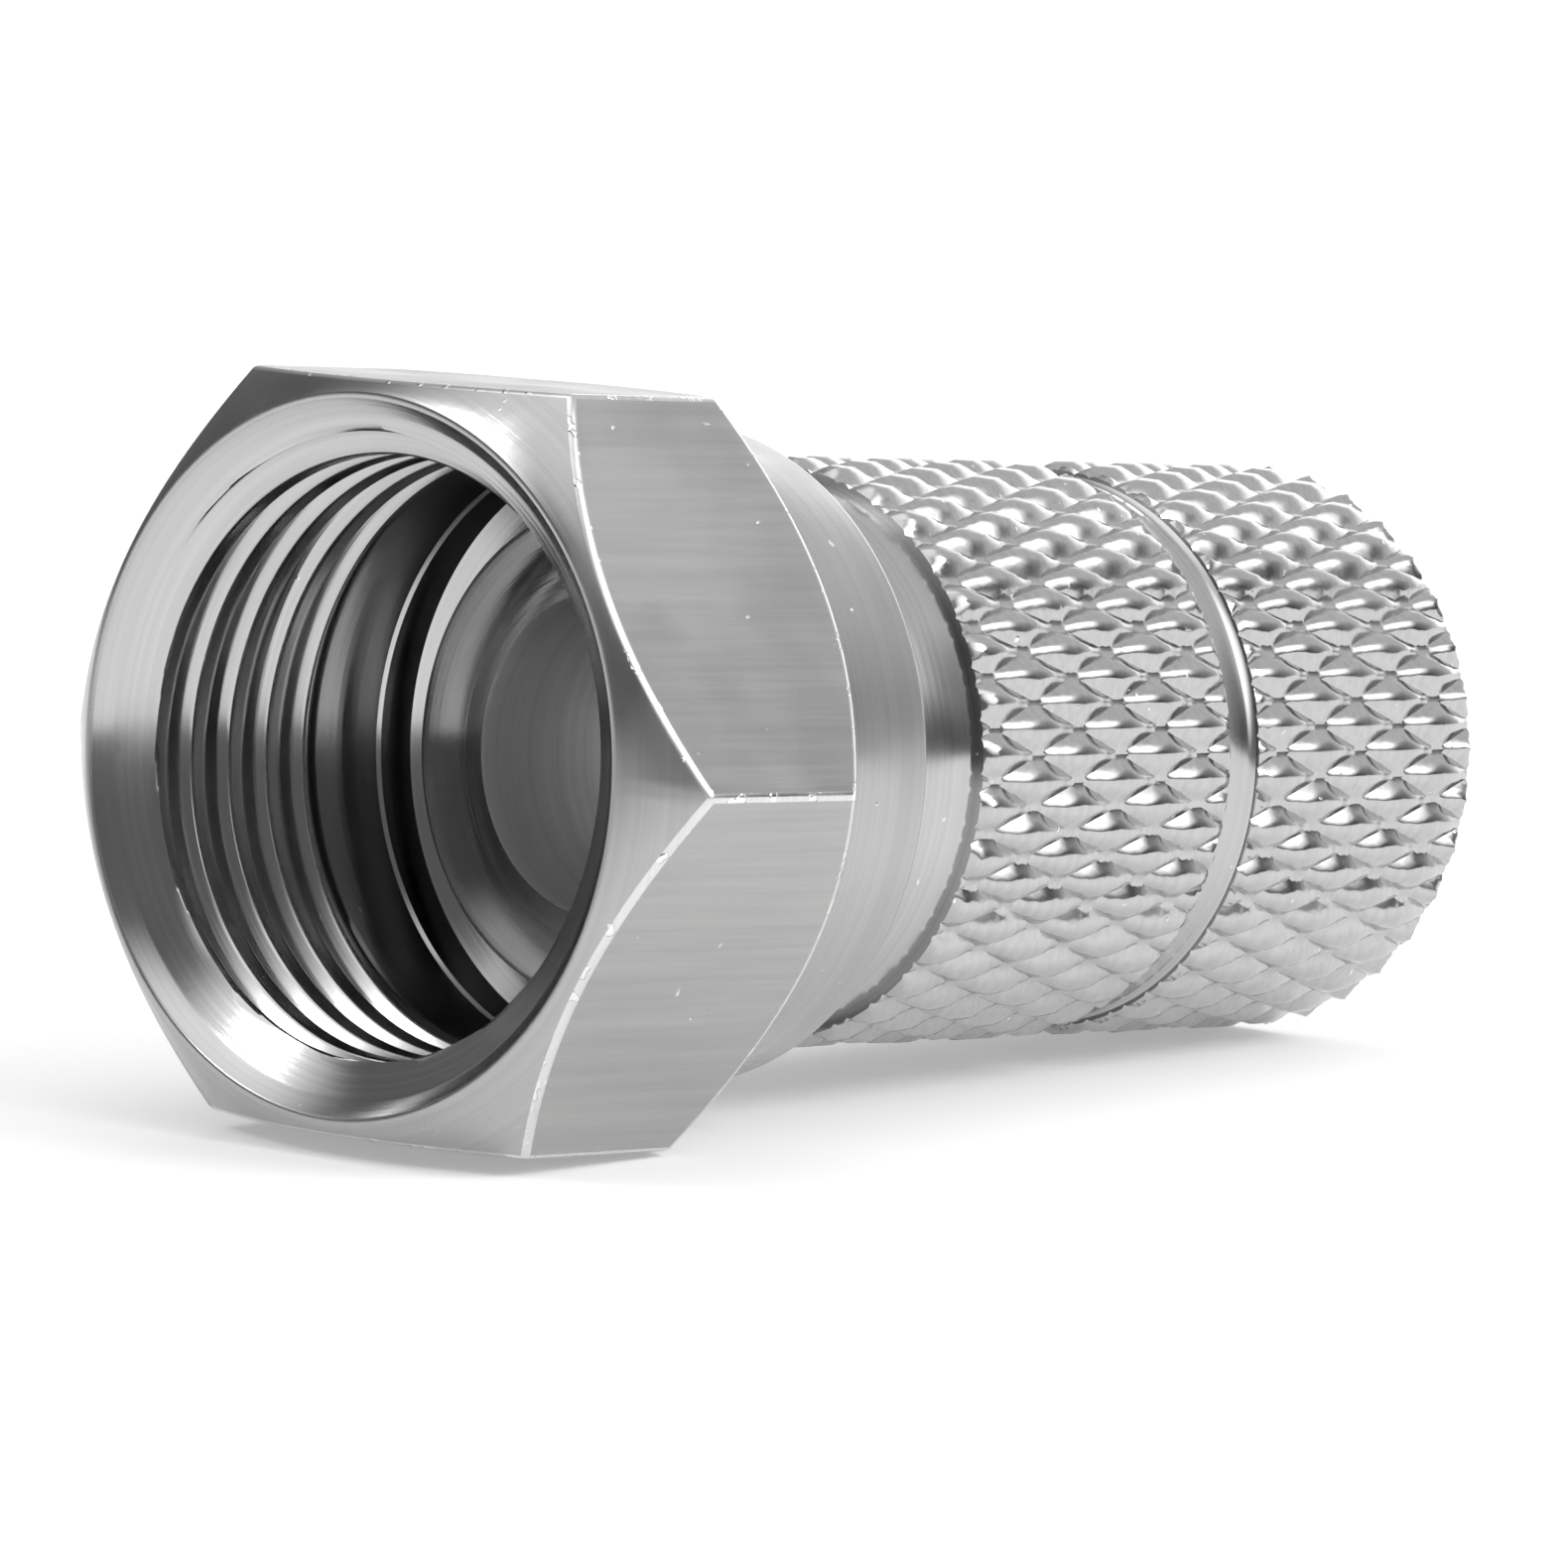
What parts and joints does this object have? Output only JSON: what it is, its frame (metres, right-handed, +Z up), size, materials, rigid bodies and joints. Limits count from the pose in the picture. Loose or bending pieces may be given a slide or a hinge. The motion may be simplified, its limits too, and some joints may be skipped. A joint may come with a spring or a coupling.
{
  "type": "f connector",
  "caption": "Twist-on coaxial F plug: a hexagonal coupling nut that spins on a knurled tubular sleeve with a cable entry behind.",
  "frame": {"origin": "centre of the sleeve's flange face inside the nut, where the mating socket seats, on the common axis", "axes": "+X along the common axis from the nut's mouth towards the cable entry, +Z up and square to a flat of the nut"},
  "size_m": [0.0211, 0.0128, 0.011],
  "materials": {
    "nut_nickel": "nickel plate over turned brass, fine drawn lines on the flats",
    "sleeve_nickel": "nickel plate over knurled brass, bright on the diamonds"
  },
  "bodies": {
    "sleeve": {"knurled_sleeve": "sleeve_nickel"},
    "nut": {"coupling_nut": "nut_nickel"}
  },
  "joints": [
    {"name": "nut_spin", "type": "hinge", "parent": "sleeve", "child": "nut", "pos_m": [0.0015, 0, 0], "axis": [1, 0, 0], "continuous": true}
  ]
}
